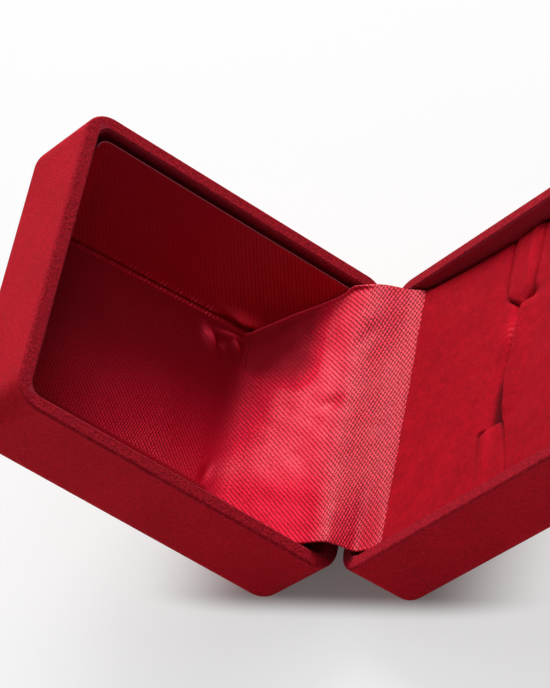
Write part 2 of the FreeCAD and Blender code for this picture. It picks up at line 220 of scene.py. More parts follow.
def cut_pad(corners, spacing, top, under, roll):
    """A closed pad of a given outline whose upper edge rolls over.

    top and under give heights at (x, y), and roll gives the radius of the
    rolled edge there. Returns points, faces and each point's distance to the
    outline.
    """
    ring = resample(corners, spacing)
    low, high = ring.min(0), ring.max(0)
    xs = np.arange(low[0] + spacing / 2, high[0], spacing)
    ys = np.arange(low[1] + spacing / 2, high[1], spacing * 0.87)
    grid = np.array([(x + (k % 2) * spacing / 2, y) for k, y in enumerate(ys) for x in xs])
    grid = grid[inside_outline(grid, ring)]
    grid = grid[outline_distance(grid, ring) > spacing * 0.6]
    flat = [Vector(p) for p in np.concatenate([ring, grid])]
    edges = [(k, (k + 1) % len(ring)) for k in range(len(ring))]
    flat, _, triangles, _, _, _ = delaunay_2d_cdt(flat, edges, [list(range(len(ring)))], 1, 1e-5)
    flat = np.array([tuple(p) for p in flat])
    distance = outline_distance(flat, ring)
    radius = roll(*flat.T)
    inward = np.clip(radius - distance, 0, radius)
    drop = radius - np.sqrt(np.maximum(radius ** 2 - inward ** 2, 0))
    upper = np.stack([flat[:, 0], flat[:, 1], top(*flat.T) - drop], 1)
    lower = np.stack([flat[:, 0], flat[:, 1], under(*flat.T)], 1)
    count = len(flat)
    faces = [tuple(t) for t in triangles] + [tuple(k + count for k in reversed(t)) for t in triangles]
    uses = {}
    for t in triangles:
        for a, b in zip(t, t[1:] + t[:1]):
            uses.setdefault(frozenset((a, b)), []).append((a, b))
    for pairs in uses.values():
        if len(pairs) == 1:
            a, b = pairs[0]
            faces.append((b, a, a + count, b + count))
    points = np.concatenate([upper, lower])
    return points, faces, np.concatenate([distance, np.zeros(count)])


def grid_slab(upper, lower):
    """A closed slab from two grids of points of the same shape."""
    rows, cols = upper.shape[:2]
    points = np.concatenate([upper.reshape(-1, 3), lower.reshape(-1, 3)])
    index = np.arange(rows * cols).reshape(rows, cols)
    under = index + rows * cols
    faces = []
    for i in range(rows - 1):
        for j in range(cols - 1):
            faces.append((index[i, j], index[i, j + 1], index[i + 1, j + 1], index[i + 1, j]))
            faces.append((under[i, j], under[i + 1, j], under[i + 1, j + 1], under[i, j + 1]))
    rim = [index[0, j] for j in range(cols)] + [index[i, -1] for i in range(1, rows)]
    rim += [index[-1, j] for j in range(cols - 2, -1, -1)] + [index[i, 0] for i in range(rows - 2, 0, -1)]
    for a, b in zip(rim, rim[1:] + rim[:1]):
        faces.append((a, b, b + rows * cols, a + rows * cols))
    return points, faces


# ---- materials ----
def maths(operation, reflected=False):
    """An operator of Sock, which adds a Math node."""
    def method(self, other):
        return self.sum(operation, *((other, self) if reflected else (self, other)))
    return method


class Sock:
    """A value in a material's node tree; sums on it add Math nodes."""
    __add__, __radd__ = maths("ADD"), maths("ADD", True)
    __sub__, __rsub__ = maths("SUBTRACT"), maths("SUBTRACT", True)
    __mul__, __rmul__ = maths("MULTIPLY"), maths("MULTIPLY", True)
    __pow__ = maths("POWER")

    def __init__(self, shade, socket):
        self.shade = shade
        self.socket = socket

    def sum(self, operation, *values):
        return self.shade.node("ShaderNodeMath", {"operation": operation}, dict(enumerate(values)))

    def step(self, low, high):
        """0 below low, 1 above high, soft between."""
        settings = {"interpolation_type": "SMOOTHSTEP"}
        return self.shade.node("ShaderNodeMapRange", settings,
                               {"Value": self, "From Min": low, "From Max": high})


class Shade:
    """A material with one Principled shader, built by name of node."""

    def __init__(self, name):
        self.material = bpy.data.materials.new(name)
        self.material.use_nodes = True
        self.tree = self.material.node_tree
        self.tree.nodes.clear()
        self.shader = self.add("ShaderNodeBsdfPrincipled")
        lit = Sock(self, self.shader.outputs[0])
        self.output = self.add("ShaderNodeOutputMaterial", None, {"Surface": lit})

    def feed(self, node, sockets):
        for key, value in sockets.items():
            socket = node.inputs[key]
            if isinstance(value, Sock):
                self.tree.links.new(value.socket, socket)
            elif socket.type == "RGBA" and len(value) == 3:
                socket.default_value = (*value, 1.0)
            else:
                socket.default_value = value

    def add(self, kind, settings=None, sockets=None):
        """A node of a kind, whose settings are set before its sockets."""
        made = self.tree.nodes.new(kind)
        for key, value in (settings or {}).items():
            setattr(made, key, value)
        self.feed(made, sockets or {})
        return made

    def node(self, kind, settings=None, sockets=None, out=0):
        """One output of a new node."""
        return Sock(self, self.add(kind, settings, sockets).outputs[out])

    def set(self, **sockets):
        self.feed(self.shader, {key.replace("_", " "): value for key, value in sockets.items()})

    def mix(self, factor, first, second):
        """Two colours mixed; the node's colour sockets share their names, so they go by number."""
        return self.node("ShaderNodeMix", {"data_type": "RGBA"}, {0: factor, 6: first, 7: second}, out=2)

    def noise(self, where, scale, detail=2.0, rough=0.5):
        sockets = {"Vector": where, "Scale": scale, "Detail": detail, "Roughness": rough}
        return self.node("ShaderNodeTexNoise", None, sockets)

    def millimetres(self):
        """Place on the piece itself, in millimetres."""
        place = self.node("ShaderNodeTexCoord", out="Object")
        return self.node("ShaderNodeVectorMath", {"operation": "SCALE"}, {0: place, "Scale": 1 / MM})

    def along(self, where, way):
        """Distance along a direction."""
        return self.node("ShaderNodeVectorMath", {"operation": "DOT_PRODUCT"}, {0: where, 1: way}, "Value")

    def painted(self, name):
        return self.node("ShaderNodeAttribute", {"attribute_name": name}, out="Fac")

    def relief(self, height, depth, strength=1.0):
        """A bump of a given depth in metres, feeding the shader's normal."""
        made = self.node("ShaderNodeBump", None, {"Height": height, "Distance": depth, "Strength": strength})
        self.set(Normal=made)


WALL = 2.5                    # a shell's outer face to where its inner flock starts


def flock(name, settings, lean, side, high):
    """Short pile glued to a shell, rubbed and mottled along the rim, with painted shade and sheen inside the walls
    below the rim.
    """
    shade = Shade(name)
    where = shade.millimetres()
    fibres = shade.noise(where, 3.2, detail=3.0, rough=0.7)
    grain = shade.noise(where, 1.3, detail=3.0, rough=0.6)
    tufts = shade.noise(where, 1.9, rough=0.6)
    patches = shade.noise(where, 0.10, detail=3.0)
    up = (-side * math.sin(lean), 0.0, math.cos(lean))
    outward = (side * math.cos(lean), 0.0, math.sin(lean))
    height, reach = (shade.along(where, way) - float(AXIS @ way) / MM for way in (up, outward))
    off_middle = shade.along(where, (0.0, 1.0, 0.0))
    wall_x, wall_y, rim_z = (float(v) for v in high - (WALL, WALL, 0))
    worn = height.step(rim_z - 1.0, rim_z - 0.1)
    tone = (fibres * 0.7 + grain * 0.6 + patches * 0.3 - 0.3).step(0.25, 0.8)
    colour = shade.mix(tone, settings.shade, settings.colour)
    rim = shade.mix((fibres * 0.5 + tufts * 0.5).step(0.38, 0.62), settings.worn_shade, settings.worn)
    # The inner walls below the rim, which get the painted shade and sheen
    inner = 1 - off_middle.sum("ABSOLUTE", off_middle).step(wall_y - 0.3, wall_y)
    inner = inner * (1 - reach.step(wall_x - 0.3, wall_x))
    colour = shade.mix(worn * 0.85, colour, rim)
    colour = shade.mix(inner * height.step(rim_z - 5.0, rim_z - 2.0) * 0.6, colour, settings.inner)
    fleck = fibres.step(0.7, 0.76) * tufts.step(0.55, 0.7)
    colour = shade.mix(fleck * 0.5, colour, settings.fleck)
    shade.set(Base_Color=colour, Roughness=0.92, Sheen_Weight=settings.sheen,
              Sheen_Roughness=0.45, Sheen_Tint=settings.sheen_tint, Specular_IOR_Level=0.12)
    shade.relief(fibres + grain * 0.7 + tufts * worn * 0.8, settings.pile * MM)
    return shade.material


def velvet(name, settings):
    """Cut pile of the insert; the painted values are the pile's lay, with painted light and shade along the slit,
    and the painted shade of its creases.
    """
    shade = Shade(name)
    where = shade.millimetres()
    fibres = shade.noise(where, 3.0, detail=3.0, rough=0.65)
    strokes = shade.noise(where, 0.7, detail=3.0, rough=0.65)
    patches = shade.noise(where, 0.13)
    lay_and_painted_light = shade.painted("lay_and_painted_light")
    tone = (fibres * 0.75 + strokes * 0.5 + patches * 0.3 + lay_and_painted_light * 0.5 - 0.28).step(0.25, 0.83)
    colour = shade.mix(tone, settings.shade, settings.colour)
    # Brushed pile, and the painted highlight along the front flap's edge at the slit
    colour = shade.mix((lay_and_painted_light + strokes * 0.4).step(0.6, 1.5), colour, settings.brushed)
    # Painted shade in the creases
    colour = shade.mix(shade.painted("crease"), colour, settings.crease_shade)
    shade.set(Base_Color=colour, Roughness=0.9, Sheen_Weight=settings.sheen,
              Sheen_Roughness=0.4, Sheen_Tint=settings.sheen_tint, Specular_IOR_Level=0.1)
    shade.relief(fibres * 0.6 + strokes * 0.4, settings.pile * MM, 0.8)
    return shade.material


def satin(name, settings, colour, dark, depth):
    """Twill-ribbed satin. The cloth's own millimetres are its UV map."""
    shade = Shade(name)
    cloth = shade.node("ShaderNodeUVMap", {"uv_map": "cloth"})
    turn = 2 * math.pi
    wander = shade.noise(cloth, 0.5)
    thread = shade.noise(cloth, 2.4, rough=0.6).step(0.3, 0.7)
    rib, fall = settings.rib_rate, settings.weft_rate
    first = shade.along(cloth, (turn * rib, turn * rib * 0.87, 0.0)) + wander * 1.8 + thread * 1.1
    second = shade.along(cloth, (turn * fall, -turn * fall * 0.3, 0.0)) + wander * 1.2 + thread * 0.8
    ribs = first.sum("COSINE", first) * 0.5 + 0.5
    wefts = second.sum("COSINE", second) * 0.5 + 0.5
    crossing = shade.painted("crossing")
    broken = 0.12 + crossing * 0.42
    weave = (ribs * (1 - broken) + wefts * broken - 0.5) * (0.85 + crossing * 1.6) + 0.5
    shine = (weave * 0.65 + thread * 0.35).step(0.18, 0.82)
    gap = shade.mix(crossing * 0.8, dark, settings.gap)
    # Painted shade: where it is painted, the weave gives way to one plain dark colour
    surface = shade.mix(shade.painted("painted_shade"), shade.mix(shine, gap, colour), settings.painted_shade)
    # Painted highlights on hems, puckers and fold crests
    surface = shade.mix(shade.painted("painted_highlight"), surface, settings.painted_highlight)
    # Outside the painted shade the satin keeps its coat and its ribbed relief; inside it they fade out
    outside_painted_shade = 1 - shade.painted("painted_shade")
    gleam = outside_painted_shade.step(0.75, 1.0) * (0.25 + shine * 0.75) * settings.coat
    shade.set(Base_Color=surface, Roughness=settings.gloss + 0.08 - shine * 0.08,
              Metallic=shine * settings.lustre, Coat_Weight=gleam, Coat_Roughness=0.5,
              Specular_IOR_Level=settings.specular, Specular_Tint=settings.specular_tint)
    shade.relief((weave * (0.75 + broken * 0.6) + thread * 0.5) * outside_painted_shade, depth * MM)
    return shade.material


def steel(name, settings):
    """Bright stamped steel with drawing marks along the hinge."""
    shade = Shade(name)
    where = shade.millimetres()
    streaks = shade.node("ShaderNodeVectorMath", {"operation": "MULTIPLY"}, {0: where, 1: (6.0, 0.5, 6.0)})
    marks = shade.noise(streaks, 1.0, detail=4.0, rough=0.6)
    blotches = shade.noise(where, 0.4, detail=3.0, rough=0.6)
    shade.set(Base_Color=shade.mix(blotches, settings.colour, settings.dull),
              Metallic=1.0, Roughness=0.28 + marks * 0.2)
    shade.relief(marks, 0.01 * MM, 0.4)
    return shade.material


def card(name, colour, dark):
    """Pressed card: flecked, with a soft grain."""
    shade = Shade(name)
    where = shade.millimetres()
    flecks = shade.noise(where, 1.4, detail=4.0, rough=0.7)
    colour = shade.mix(flecks.step(0.35, 0.7), dark, colour)
    shade.set(Base_Color=colour, Roughness=0.85, Specular_IOR_Level=0.2)
    shade.relief(flecks, 0.05 * MM, 0.6)
    return shade.material


def foam(name, colour, dark):
    """Open-celled foam."""
    shade = Shade(name)
    where = shade.millimetres()
    cells = shade.node("ShaderNodeTexVoronoi", None, {"Vector": where, "Scale": 1.8})
    shade.set(Base_Color=shade.mix(cells.step(0.05, 0.5), dark, colour), Roughness=0.95)
    shade.relief(cells, 0.2 * MM, 0.8)
    return shade.material


# ---- settings ----
def tint(name, description, default):
    return bpy.props.FloatVectorProperty(name=name, description=description, default=default,
                                         subtype="COLOR", size=3, min=0.0, max=1.0)


def amount(name, description, default, unit="NONE"):
    return bpy.props.FloatProperty(name=name, description=description, default=default, unit=unit)


def share(name, description, default):
    return bpy.props.FloatProperty(name=name, description=description, default=default,
                                   subtype="FACTOR", min=0.0, max=1.0)


class FlockSettings(bpy.types.PropertyGroup):
    colour: tint("Colour", "Flock where its pile stands up", (0.60, 0.004, 0.020))
    shade: tint("Shade", "Flock between its fibres", (0.38, 0.003, 0.010))
    worn: tint("Worn rim", "Flock rubbed along the rim", (0.50, 0.009, 0.024))
    worn_shade: tint("Worn rim shade", "Between the rubbed tufts", (0.24, 0.004, 0.013))
    # Painted shade and sheen: darker, more purple flock on the inner walls
    inner: tint("Inner", "Flock inside the walls, below the rim", (0.32, 0.026, 0.050))
    fleck: tint("Fleck", "Stray pale fibre ends", (0.85, 0.30, 0.25))
    sheen: share("Sheen", "Light caught by the pile's tips", 0.05)
    sheen_tint: tint("Sheen tint", "Colour of the pile's tips", (1.0, 0.08, 0.14))
    pile: amount("Pile", "Depth of the pile's relief, in millimetres", 0.22)


class VelvetSettings(bpy.types.PropertyGroup):
    colour: tint("Colour", "Velvet with its pile towards the eye", (0.56, 0.003, 0.018))
    shade: tint("Shade", "Velvet with its pile away from the eye", (0.31, 0.002, 0.008))
    # Also the colour of the painted highlight along the front flap's edge at the slit
    brushed: tint("Brushed", "Pile tips brushed up beside the slit", (0.80, 0.035, 0.065))
    # Painted shade: the near black of pile in the slit, behind the front flap's step and by the far wall
    crease_shade: tint("Deep", "Pile inside a crease", (0.07, 0.0, 0.003))
    sheen: share("Sheen", "Light caught by the pile's tips", 0.04)
    sheen_tint: tint("Sheen tint", "Colour of the pile's tips", (1.0, 0.05, 0.12))
    pile: amount("Pile", "Depth of the pile's relief, in millimetres", 0.12)
    spacing: amount("Spacing", "Size of the mesh's triangles, in millimetres", 0.4)
    slot_x: amount("Slot", "Hinge axis to the slit, in millimetres", 39.7)
    slot_half: amount("Half slot", "Half the slit's length, in millimetres", 14.0)
    flap: amount("Flap", "Cross cuts each side of the slit, in millimetres", 5.0)
    sink: amount("Sink", "How far the back flap is pushed in at its near end, in millimetres", 2.5)
    lip: amount("Lip", "How far the front flap stands up, in millimetres", 1.0)


class SatinSettings(bpy.types.PropertyGroup):
    colour: tint("Colour", "Ribs of the satin", (0.78, 0.011, 0.050))
    shade: tint("Shade", "Between the ribs", (0.60, 0.005, 0.024))
    # Copies of one satin: the ceiling's is written brighter, painted light for its lit part, and the panels'
    # darker, painted shade
    lining: tint("Lining", "Ribs of the ceiling inside the lid", (0.95, 0.020, 0.075))
    lining_shade: tint("Lining shade", "Between the ceiling's ribs", (0.44, 0.003, 0.017))
    panel: tint("Panel", "Ribs of the side panels", (0.52, 0.007, 0.026))
    panel_shade: tint("Panel shade", "Between the side panels' ribs", (0.43, 0.005, 0.018))
    gap: tint("Gap", "Holes between crossing threads", (0.30, 0.002, 0.008))
    # Painted shade: the dark satin laid where the lid's walls shade the ramp, the ceiling and the panels
    painted_shade: tint("Turned away", "Satin whose threads lie away from the light", (0.22, 0.002, 0.009))
    # Painted highlight: pale pink on hems, pucker rungs and fold crests where they catch the light
    painted_highlight: tint("Rubbed", "Stretched threads of hems and puckers", (0.88, 0.035, 0.08))
    edge: tint("Cut edge", "Cut edge of the lining's card", (0.34, 0.05, 0.07))
    rib_rate: amount("Ribs", "Ribs in each millimetre across the hinge", 1.07)
    rib_depth: amount("Rib depth", "Depth of the ribs, in millimetres", 0.06)
    weft_rate: amount("Wefts", "Crossing threads in each millimetre", 1.92)
    gloss: share("Roughness", "Roughness of the threads", 0.47)
    lustre: share("Lustre", "Share of the light that the threads throw back in their own colour", 0.42)
    specular: share("Specular", "Strength of the threads' own shine", 0.07)
    # The shine is cut where the painted shade lies
    coat: share("Gleam", "Strength of the shine where the threads face the light", 0.58)
    specular_tint: tint("Shine tint", "Colour of the shine", (1.0, 0.75, 0.80))
    ramp_radius: amount("Ramp radius", "Radius of the bend from the ramp to the ceiling, in millimetres", 8.0)
    ramp_end: amount("Ramp end", "Hinge axis to the ramp's end on the ceiling, in millimetres", 25.2)
    pucker_pitch: amount("Pucker pitch", "Pucker to pucker along the seam, in millimetres", 0.9)


class HiddenSettings(bpy.types.PropertyGroup):
    colour: tint("Steel", "Bright steel of the hinge", (0.62, 0.61, 0.58))
    dull: tint("Dull steel", "Blotches of the steel", (0.42, 0.41, 0.39))
    # Written dark: painted shade for the glimpses of the card through the slot's gaps
    card: tint("Card", "Red-dyed card", (0.16, 0.006, 0.012))
    card_shade: tint("Card flecks", "Dark flecks of the card", (0.08, 0.003, 0.006))
    foam: tint("Foam", "Foam", (0.05, 0.05, 0.05))
    foam_shade: tint("Foam cells", "Inside the foam's cells", (0.02, 0.02, 0.02))


class StageSettings(bpy.types.PropertyGroup):
    floor: tint("Floor", "Pale floor", (0.84, 0.845, 0.845))
    ambient: share("Ambient", "Strength of the light from all round", 0.09)
    key: amount("Key", "Power of the window light", 23.5, "POWER")
    fill: amount("Fill", "Power of the low reflector at the front", 4.3, "POWER")
    key_from: bpy.props.FloatVectorProperty(
        name="Key from", description="Direction that the window light comes from",
        default=(-0.16, 0.785, 0.599), size=3, subtype="DIRECTION")
    key_distance: amount("Key distance", "Box to the window light, in millimetres", 1500.0)
    key_long: amount("Key length", "Length of the window light, in millimetres", 850.0)
    key_wide: amount("Key width", "Width of the window light, in millimetres", 600.0)
    top: amount("Top", "Power of the soft light overhead", 8.0, "POWER")
    lift: share("Lift", "How far the floor is lifted to white for the eye", 0.66)
    lift_under: share("Lift under", "The same, right under the box", 0.06)
    lift_start: amount("Lift start", "Box to where the lift starts, in millimetres", 0.0)
    lift_end: amount("Lift end", "Box to where the lift is full, in millimetres", 6.0)
    lift_aside: share("Lift aside", "Share of a distance to the side that counts", 0.22)
    lens: amount("Lens", "Focal length", 174.17, "CAMERA")


# ---- operators ----
class RINGBOX_OT_flock(bpy.types.Operator):
    """Flock both shells"""
    bl_idname = "ring_box.flock"
    bl_label = "Flocked shells"

    def execute(self, context):
        settings = context.scene.ring_box_flock
        for node, lean, side, high in (("base_shell", BASE_LEAN, 1, BASE_HIGH),
                                       ("lid_shell", LID_LEAN, -1, LID_HIGH)):
            dress(node, flock("flock_" + node, settings, lean, side, high))
        return {"FINISHED"}


class RINGBOX_OT_insert(bpy.types.Operator):
    """Velvet insert, cut and bent at its slot"""
    bl_idname = "ring_box.insert"
    bl_label = "Velvet insert"

    def execute(self, context):
        settings = context.scene.ring_box_velvet
        build_insert(settings, velvet("insert_velvet", settings))
        hidden = context.scene.ring_box_hidden
        dress("insert_card", card("red_card", hidden.card, hidden.card_shade))
        dark = foam("ring_foam", hidden.foam, hidden.foam_shade)
        dress("ring_foam_front", dark)
        dress("ring_foam_rear", dark)
        return {"FINISHED"}


class RINGBOX_OT_lining(bpy.types.Operator):
    """Satin ceiling and panels of the lid"""
    bl_idname = "ring_box.lining"
    bl_label = "Lid lining"

    def execute(self, context):
        build_lining(context.scene.ring_box_satin)
        return {"FINISHED"}


class RINGBOX_OT_hinge_satin(bpy.types.Operator):
    """Satin strip over the hinge"""
    bl_idname = "ring_box.hinge_satin"
    bl_label = "Satin over the hinge"

    def execute(self, context):
        build_hinge_satin(context.scene.ring_box_satin)
        return {"FINISHED"}


class RINGBOX_OT_hinge(bpy.types.Operator):
    """Steel of the sprung hinge"""
    bl_idname = "ring_box.hinge"
    bl_label = "Sprung hinge"

    def execute(self, context):
        metal = steel("hinge_steel", context.scene.ring_box_hidden)
        for node in ("base_hinge_leaf", "lid_hinge_leaf", "hinge_pin", "hinge_spring"):
            dress(node, metal)
        return {"FINISHED"}


class RINGBOX_OT_stage(bpy.types.Operator):
    """Floor, lights and camera"""
    bl_idname = "ring_box.stage"
    bl_label = "Stage"

    def execute(self, context):
        build_stage(context.scene.ring_box_stage)
        return {"FINISHED"}


# ---- the pieces ----
PAD_THICK = 1.45              # velvet over its foam, down to the card
PAD_CORNER = 0.7              # radius of the pads' corners
PAD_EDGE_Z = -1.95            # the insert's top at its edges
PAD_SLOT_Z = -3.75            # and at the slot
STEP_SHADE = 0.82             # shaded pile behind each millimetre of the front flap's step
SHEET_THICK = 0.2             # the strip over the hinge
STRIP_HALF = 29.3             # half its width
RAMP_RADIUS_FAR = 2.0         # its bend onto the ceiling, at its far edge
PANEL_CLOTH = 0.3             # satin on the panels' card
FAR_FOOT = 18.5               # middle of the lid to the far panel's foot, 20 mm from the hinge axis
FAR_FOOT_SKEW = 0.063         # how fast the foot draws in from there
FAR_TOP_SKEW = 0.004          # and the top
FAR_PANEL_RISE = 0.8          # the far panel's top, above its card
NEAR_PANEL_DROP = 1.8         # the near panel's top, below its card
PANEL_ROUND = 2.6             # bend of the side panels into the front panel
PANEL_TOE = 1.4               # satin that laps from the side panels onto the ceiling

# Mounds of satin as height, reach, place along the hinge, two radii and a turn in degrees.
GATHERS = ((1.4, 27.9, 12.2, 1.2, 2.5, -36), (-1.0, 25.6, 12.8, 1.1, 1.5, -38),
           (0.8, 23.8, 15.4, 2.6, 0.7, -8), (0.9, 22.2, 14.0, 0.7, 1.6, -48),
           (-0.4, 22.3, -15.5, 0.8, 2.4, 10))
# Painted highlights on the crests of the gathers, in the same columns
HIGHLIGHT_CRESTS = ((0.85, 28.3, 12.6, 1.1, 2.2, -36), (0.8, 23.8, 15.5, 2.4, 0.5, -8),
                 (0.8, 22.1, 14.0, 0.6, 1.4, -48))
DIMPLES = ((0.5, -5.5, 2.0, 2.2, 1.6, 35), (0.35, -1.5, 17.0, 1.5, 3.5, -20))


def mounds(u, v, rows):
    """Sum of soft mounds, each a height and the place, radii and turn that bump takes."""
    return sum(height * bump(u, v, *place) for height, *place in rows)


def over_skin(values):
    """Values on a slab's upper skin, and none on its lower one."""
    return np.concatenate([values.ravel(), 0 * values.ravel()])


def dress(node, material):
    """Give a frame node its finish."""
    mesh = frame["nodes"][node].data
    mesh.materials.clear()
    mesh.materials.append(material)


def pad_level(settings, x):
    """Top of the insert: a shallow valley from its edges down to the slot."""
    back = np.clip((settings.slot_x - x) / (settings.slot_x - CARD_LOW[0]), 0, 1)
    front = np.clip((x - settings.slot_x) / (CARD_HIGH[0] - settings.slot_x), 0, 1)
    return PAD_SLOT_Z + (PAD_EDGE_Z - PAD_SLOT_Z) * np.maximum(back, front)


def insert_outlines(settings, half):
    """Outlines of the two velvet fields and the two tabs, which share their cuts, each from near to far."""
    slot, end = settings.slot_x, settings.slot_half
    back_cut, front_cut = slot - settings.flap, slot + settings.flap
    back, front = CARD_LOW[0] + 0.05, CARD_HIGH[0] - 0.1
    slit = [(slot + 0.3, -end), (slot + 0.1, -9.0), (slot - 0.7, -4.0), (slot + 0.1, 1.0),
            (slot + 0.4, 8.5), (slot + 0.8, 11.2)]
    near_left = [(back_cut - 0.2, -half), (back_cut - 0.3, -22.0), (back_cut - 1.2, -end - 1.6),
                 (back_cut - 1.6, -end - 0.2)]
    near_right = [slit[0], (slot + 1.5, -end - 2.6), (slot + 3.0, -end - 9.0), (front_cut - 0.9, -half)]
    far_left = [(back_cut + 0.4, end + 0.8), (back_cut - 0.4, end + 6.0), (back_cut - 0.1, half)]
    far_right = [slit[-1], (front_cut - 1.9, end - 0.4), (front_cut - 1.2, end + 5.0),
                 (front_cut - 0.7, half)]
    return {"back": near_left + slit + far_left + [(back - 1.1, half), (back - 0.5, 8.0), (back, -half)],
            "front": far_right[::-1] + slit[::-1][1:] + near_right[1:] + [(front, -half), (front, half)],
            "far tab": far_left[::-1] + far_right,
            "near tab": near_left + near_right}


def pile_marks(settings, place, points, away, half):
    """How a pad's pile lies, from brushed up to brushed down, with painted light and shade along the slit, and the
    painted shade of its creases.
    """
    slot, end = settings.slot_x, settings.slot_half
    x, y, _ = points.T
    brushed = 0.62 + 0.38 * np.cos(4.6 * y + 2.5 * np.sin(1.3 * x))
    lay_and_painted_light = 1.1 * bump(x, y, slot - 1.6, 6.5, 2.0, 3.2) * brushed * (x < slot + 0.6)
    # Painted shade where the back flap sinks towards the slit at its near end
    lay_and_painted_light = lay_and_painted_light - 0.5 * smooth(x, slot - 5, slot) * smooth(-y, 3, 12) * (x < slot + 0.4) * (y > -end)
    # Painted highlights on the tabs' ridges
    lay_and_painted_light = lay_and_painted_light + 0.3 * bump(x, y, slot - 2.6, -20.0, 1.2, 7.0, 4)
    lay_and_painted_light = lay_and_painted_light + 0.25 * bump(x, y, slot + 1.6, 22.0, 0.9, 7.0)
    along_slit = bump(x, y, slot, -3.0, 2.4, 13.0)
    on_edge = 1 - smooth(away, 0.0, 0.9)
    if place == "front":
        # Painted highlight along the front flap's edge, which stands up into the light
        lay_and_painted_light = lay_and_painted_light + 1.2 * along_slit * on_edge
        crease = 0 * x
    else:
        # Painted shade along the slit and the tabs' cut ends
        tab_cut = smooth(abs(y), end - 1.5, end) * (1 - smooth(abs(y), end + 1, end + 12)) * smooth(x, 32, 33)
        crease = on_edge * (0.9 * along_slit * (x > slot - 3) + 0.5 * tab_cut)
    if place == "back":
        # Painted shade on the back flap behind the front flap's step, which shades it
        behind_lip = slot - STEP_SHADE * (settings.lip + settings.sink * smooth(-y, -9, 9) + 0.3)
        hidden = smooth(x, behind_lip - 1.0, behind_lip + 0.1) * smooth(-y, -12, 4)
        crease = crease + 0.85 * hidden * (abs(y) < end + 0.6) * (x < slot + 0.8)
    # Painted shade along the insert's far edge, by the base's far wall
    crease = crease + 0.75 * smooth(y, half - 1.4, half - 0.2)
    return lay_and_painted_light, np.clip(crease, 0, 1)


def build_insert(settings, cloth):
    """Two velvet fields, bent at the slit, and the two rolled tabs at its ends."""
    half = CARD_HIGH[1] - 0.1
    slot, end, back = settings.slot_x, settings.slot_half, CARD_LOW[0] + 0.05

    def level(x, y):
        flat = np.stack([x, y, 0 * x], 1)
        return pad_level(settings, x) + ripple(flat, 0.12, 3) * 0.35 + ripple(flat, 0.4, 5) * 0.12

    def back_top(x, y):
        push = smooth(x, slot - 7.0, slot - 0.2) ** 1.5 * smooth(-y, -9, 9)
        settle = 0.5 * smooth(x, slot - 5, slot) * smooth(y, 6, 12)
        pile = 0.2 * bump(x, y, slot - 2.0, 6.4, 2.0, 2.6)
        return level(x, y) - settings.sink * push - settle + pile - 0.5 * smooth(x, slot - 3.5, slot)

    def front_top(x, y):
        rise = settings.lip * (1 - smooth(x, slot, slot + 5.5)) * (1 - 0.5 * smooth(abs(y), 11, 14))
        tuck = 0.9 * bump(x, y, slot + 3.0, 13.0, 2.2, 1.6)
        return level(x, y) + rise - tuck

    def tab_top(crown, middle, reach, ridge, dip, start, stop):
        """A crowned tab with one ridge along it, which dips towards the slit."""
        def top(x, y):
            arch = crown * (1 - ((x - slot - middle) / reach) ** 2)
            fall = dip * (1 - smooth(abs(y), start, stop))
            return level(x, y) + arch + mounds(x - slot, y, (ridge,)) - fall
        return top

    def under(x, y):
        return pad_level(settings, x) - PAD_THICK

    def low_under(x, y):
        flap = smooth(x, slot - 6.5, slot - 0.6) * (abs(y) < end + 1.0)
        return under(x, y) - (settings.sink + 0.4) * flap * smooth(-y, -10, 9)

    def field_roll(x, y):
        """Round over the insert's own edges, tight along the cuts."""
        outer = smooth(abs(y), half - 2.2, half - 0.6)
        return 0.45 + 1.0 * outer * smooth(x, back + 0.4, back + 1.5) + 0.45 * bump(x, y, slot, 0, 2.5, 14)

    def tab_roll(x, y):
        return 0.8 + 0.6 * smooth(abs(y), half - 2.2, half - 0.6)

    outlines = insert_outlines(settings, half)
    far_top = tab_top(0.6, 0.2, 4.6, (0.35, 1.6, 22.0, 0.9, 7.0, -3), 0.7, 11.5, 16.0)
    near_top = tab_top(0.55, -1.0, 5.4, (0.45, -2.6, -19.5, 1.1, 6.5, 4), 0.15, 14, 16)
    pads = (("insert_velvet_back", "back", back_top, low_under, field_roll, 0.5, "insert_front_pad"),
            ("insert_velvet_front", "front", front_top, under, field_roll, 0.5, "insert_rear_pad"),
            ("slot_tab_far_velvet", "far tab", far_top, under, tab_roll, 0.7, "slot_tab_far"),
            ("slot_tab_near_velvet", "near tab", near_top, under, tab_roll, 0.7, "slot_tab_near"))
    for name, place, top, bottom, roll, fill, node in pads:
        outline = rounded(outlines[place], PAD_CORNER)
        points, faces, away = cut_pad(outline, settings.spacing, top, bottom, roll)
        piece = new_piece(name, in_base(points), faces, cloth, "base")
        lay_and_painted_light, crease = pile_marks(settings, place, points, away, half)
        paint(piece, "lay_and_painted_light", lay_and_painted_light)
        paint(piece, "crease", crease)
        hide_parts(node)


def up_panel(z, rise=0.0):
    """Share of the way from the panels' foot to their top."""
    return np.clip((z - PANEL_FOOT) / (PANEL_TOP + rise - PANEL_FOOT), 0, 1)


def far_face(x, z):
    """Middle of the lid to the far panel's satin, which lies askew in its wall."""
    foot = FAR_FOOT - FAR_FOOT_SKEW * (x - 20)
    top = FAR_HIGH[1] - 0.15 - FAR_TOP_SKEW * (x - 12)
    return foot + (top - foot) * up_panel(z, FAR_PANEL_RISE)


def near_face(x, z):
    """Middle of the lid to the near panel's satin."""
    foot, top = -NEAR_HIGH[1], -NEAR_LOW[1] - 0.35
    return foot + (top - foot) * up_panel(z) + 0 * x


def front_face(z):
    """Hinge axis to the front panel's satin."""
    foot, top = FRONT_LOW[0], FRONT_HIGH[0] - 0.35
    return foot + (top - foot) * up_panel(z)


